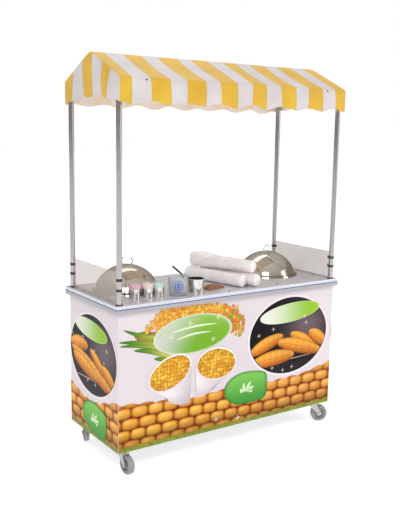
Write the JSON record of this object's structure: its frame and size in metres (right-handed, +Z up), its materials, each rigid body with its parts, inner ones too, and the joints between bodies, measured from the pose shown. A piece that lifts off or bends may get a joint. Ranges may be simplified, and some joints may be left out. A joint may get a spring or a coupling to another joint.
{
  "type": "push vending cart",
  "caption": "Push vending cart for boiled corn: printed cabinet on swivel casters, steel worktop with domed pots, posts and a striped gable canopy.",
  "frame": {"origin": "on the ground, under the middle of the cart", "axes": "+X along the length to the customer's right, +Y towards the operator's side, +Z up"},
  "size_m": [1.5, 0.6177, 2.14],
  "materials": {
    "frame_steel": "powder coated",
    "printed_panel": "satin printed film",
    "white_panel": "satin",
    "polished_steel": "polished",
    "screen_acrylic": "clear, lightly tinted",
    "burner_iron": "matte",
    "black_plastic": "satin",
    "chrome": "polished",
    "post_steel": "polished",
    "roof_tube": "satin",
    "canopy_fabric": "coated cloth",
    "dark_screws": "satin",
    "caster_zinc": "zinc plated",
    "caster_hub": "satin",
    "caster_rubber": "matte",
    "brake_plastic": "satin",
    "shaker_steel": "polished",
    "pink_plastic": "gloss",
    "peach_plastic": "gloss",
    "mint_plastic": "gloss",
    "clear_plastic": "clear",
    "wood": "oiled",
    "sleeve_paper": "soft film over paper"
  },
  "bodies": {
    "cart": {"chassis_frame": "frame_steel", "floor_deck": "frame_steel", "burner_shelf": "frame_steel", "front_panel": "printed_panel", "left_panel": "printed_panel", "right_panel": "printed_panel", "control_panel": "white_panel", "door_hinges": "chrome", "worktop": "polished_steel", "gas_burners": "burner_iron", "post_front_left": "post_steel", "post_front_right": "post_steel", "post_back_left": "post_steel", "post_back_right": "post_steel", "post_collars": "black_plastic", "roof_frame": "roof_tube", "canopy_cover": "canopy_fabric", "fixing_screws": "dark_screws", "left_screen": "screen_acrylic", "right_screen": "screen_acrylic", "caster_plates": "caster_zinc"},
    "door_left": {"door_left": "white_panel", "door_handle_left": "chrome"},
    "gas_knob_left": {"gas_knob_left": "black_plastic"},
    "pot_left": {"pot_left": "polished_steel"},
    "lid_left": {"lid_left": "polished_steel", "lid_handle_left": "chrome"},
    "door_right": {"door_right": "white_panel", "door_handle_right": "chrome"},
    "gas_knob_right": {"gas_knob_right": "black_plastic"},
    "pot_right": {"pot_right": "polished_steel"},
    "lid_right": {"lid_right": "polished_steel", "lid_handle_right": "chrome"},
    "caster_fork_front_left": {"caster_fork_front_left": "caster_zinc"},
    "caster_wheel_front_left": {"caster_hub_front_left": "caster_hub", "caster_tyre_front_left": "caster_rubber"},
    "caster_fork_front_right": {"caster_fork_front_right": "caster_zinc"},
    "caster_wheel_front_right": {"caster_hub_front_right": "caster_hub", "caster_tyre_front_right": "caster_rubber"},
    "caster_fork_back_left": {"caster_fork_back_left": "caster_zinc"},
    "caster_wheel_back_left": {"caster_hub_back_left": "caster_hub", "caster_tyre_back_left": "caster_rubber"},
    "brake_pedal_back_left": {"brake_pedal_back_left": "brake_plastic"},
    "caster_fork_back_right": {"caster_fork_back_right": "caster_zinc"},
    "caster_wheel_back_right": {"caster_hub_back_right": "caster_hub", "caster_tyre_back_right": "caster_rubber"},
    "brake_pedal_back_right": {"brake_pedal_back_right": "brake_plastic"},
    "shaker_pink": {"shaker_jar_pink": "shaker_steel", "shaker_cap_pink": "pink_plastic"},
    "shaker_peach": {"shaker_jar_peach": "shaker_steel", "shaker_cap_peach": "peach_plastic"},
    "shaker_mint": {"shaker_jar_mint": "shaker_steel", "shaker_cap_mint": "mint_plastic"},
    "saucepan": {"saucepan": "shaker_steel", "saucepan_handle": "black_plastic"},
    "clear_cup": {"clear_cup": "clear_plastic"},
    "wooden_scoop": {"wooden_scoop": "wood"},
    "cup_sleeves_low": {"cup_sleeve_near": "sleeve_paper", "cup_sleeve_far": "sleeve_paper"},
    "cup_sleeve_top": {"cup_sleeve_top": "sleeve_paper"}
  },
  "joints": [
    {"name": "door_left_swing", "type": "hinge", "parent": "cart", "child": "door_left", "pos_m": [-0.7207, 0.275, 0.45], "axis": [0, 0, 1], "range_deg": [0, 110]},
    {"name": "gas_knob_left_turn", "type": "hinge", "parent": "cart", "child": "gas_knob_left", "pos_m": [-0.49, 0.255, 0.811], "axis": [0, 1, 0], "range_deg": [0, 180]},
    {"name": "pot_left_lift", "type": "slide", "parent": "cart", "child": "pot_left", "axis": [0, 0, 1], "range_m": [0, 0.25]},
    {"name": "lid_left_lift", "type": "slide", "parent": "pot_left", "child": "lid_left", "axis": [0, 0, 1], "range_m": [0, 0.3]},
    {"name": "door_right_swing", "type": "hinge", "parent": "cart", "child": "door_right", "pos_m": [0.7207, 0.275, 0.45], "axis": [0, 0, -1], "range_deg": [0, 110]},
    {"name": "gas_knob_right_turn", "type": "hinge", "parent": "cart", "child": "gas_knob_right", "pos_m": [0.49, 0.255, 0.811], "axis": [0, 1, 0], "range_deg": [0, 180]},
    {"name": "pot_right_lift", "type": "slide", "parent": "cart", "child": "pot_right", "axis": [0, 0, 1], "range_m": [0, 0.25]},
    {"name": "lid_right_lift", "type": "slide", "parent": "pot_right", "child": "lid_right", "axis": [0, 0, 1], "range_m": [0, 0.3]},
    {"name": "caster_front_left_swivel", "type": "hinge", "parent": "cart", "child": "caster_fork_front_left", "pos_m": [-0.666, -0.215, 0.11], "axis": [0, 0, 1], "continuous": true},
    {"name": "caster_front_left_roll", "type": "hinge", "parent": "caster_fork_front_left", "child": "caster_wheel_front_left", "pos_m": [-0.66269, -0.25285, 0.05], "axis": [0.9962, 0.0872, 0], "continuous": true},
    {"name": "caster_front_right_swivel", "type": "hinge", "parent": "cart", "child": "caster_fork_front_right", "pos_m": [0.666, -0.215, 0.11], "axis": [0, 0, 1], "continuous": true},
    {"name": "caster_front_right_roll", "type": "hinge", "parent": "caster_fork_front_right", "child": "caster_wheel_front_right", "pos_m": [0.69891, -0.234, 0.05], "axis": [0.5, 0.866, 0], "continuous": true},
    {"name": "caster_back_left_swivel", "type": "hinge", "parent": "cart", "child": "caster_fork_back_left", "pos_m": [-0.666, 0.215, 0.11], "axis": [0, 0, 1], "continuous": true},
    {"name": "caster_back_left_roll", "type": "hinge", "parent": "caster_fork_back_left", "child": "caster_wheel_back_left", "pos_m": [-0.653, 0.25071, 0.05], "axis": [-0.9397, 0.342, 0], "continuous": true},
    {"name": "brake_back_left_press", "type": "hinge", "parent": "caster_fork_back_left", "child": "brake_pedal_back_left", "pos_m": [-0.64753, 0.26574, 0.105], "axis": [0.9397, -0.342, 0], "range_deg": [0, 22]},
    {"name": "caster_back_right_swivel", "type": "hinge", "parent": "cart", "child": "caster_fork_back_right", "pos_m": [0.666, 0.215, 0.11], "axis": [0, 0, 1], "continuous": true},
    {"name": "caster_back_right_roll", "type": "hinge", "parent": "caster_fork_back_right", "child": "caster_wheel_back_right", "pos_m": [0.65177, 0.25023, 0.05], "axis": [-0.9272, -0.3746, 0], "continuous": true},
    {"name": "brake_back_right_press", "type": "hinge", "parent": "caster_fork_back_right", "child": "brake_pedal_back_right", "pos_m": [0.64577, 0.26507, 0.105], "axis": [0.9272, 0.3746, 0], "range_deg": [0, 22]},
    {"name": "shaker_pink_lift", "type": "slide", "parent": "cart", "child": "shaker_pink", "axis": [0, 0, 1], "range_m": [0, 0.2]},
    {"name": "shaker_peach_lift", "type": "slide", "parent": "cart", "child": "shaker_peach", "axis": [0, 0, 1], "range_m": [0, 0.2]},
    {"name": "shaker_mint_lift", "type": "slide", "parent": "cart", "child": "shaker_mint", "axis": [0, 0, 1], "range_m": [0, 0.2]},
    {"name": "saucepan_lift", "type": "slide", "parent": "cart", "child": "saucepan", "axis": [0, 0, 1], "range_m": [0, 0.2]},
    {"name": "clear_cup_lift", "type": "slide", "parent": "cart", "child": "clear_cup", "axis": [0, 0, 1], "range_m": [0, 0.2]},
    {"name": "wooden_scoop_lift", "type": "slide", "parent": "cart", "child": "wooden_scoop", "axis": [0, 0, 1], "range_m": [0, 0.2]},
    {"name": "cup_sleeves_low_lift", "type": "slide", "parent": "cart", "child": "cup_sleeves_low", "axis": [0, 0, 1], "range_m": [0, 0.2]},
    {"name": "cup_sleeve_top_lift", "type": "slide", "parent": "cup_sleeves_low", "child": "cup_sleeve_top", "axis": [0, 0, 1], "range_m": [0, 0.25]}
  ]
}
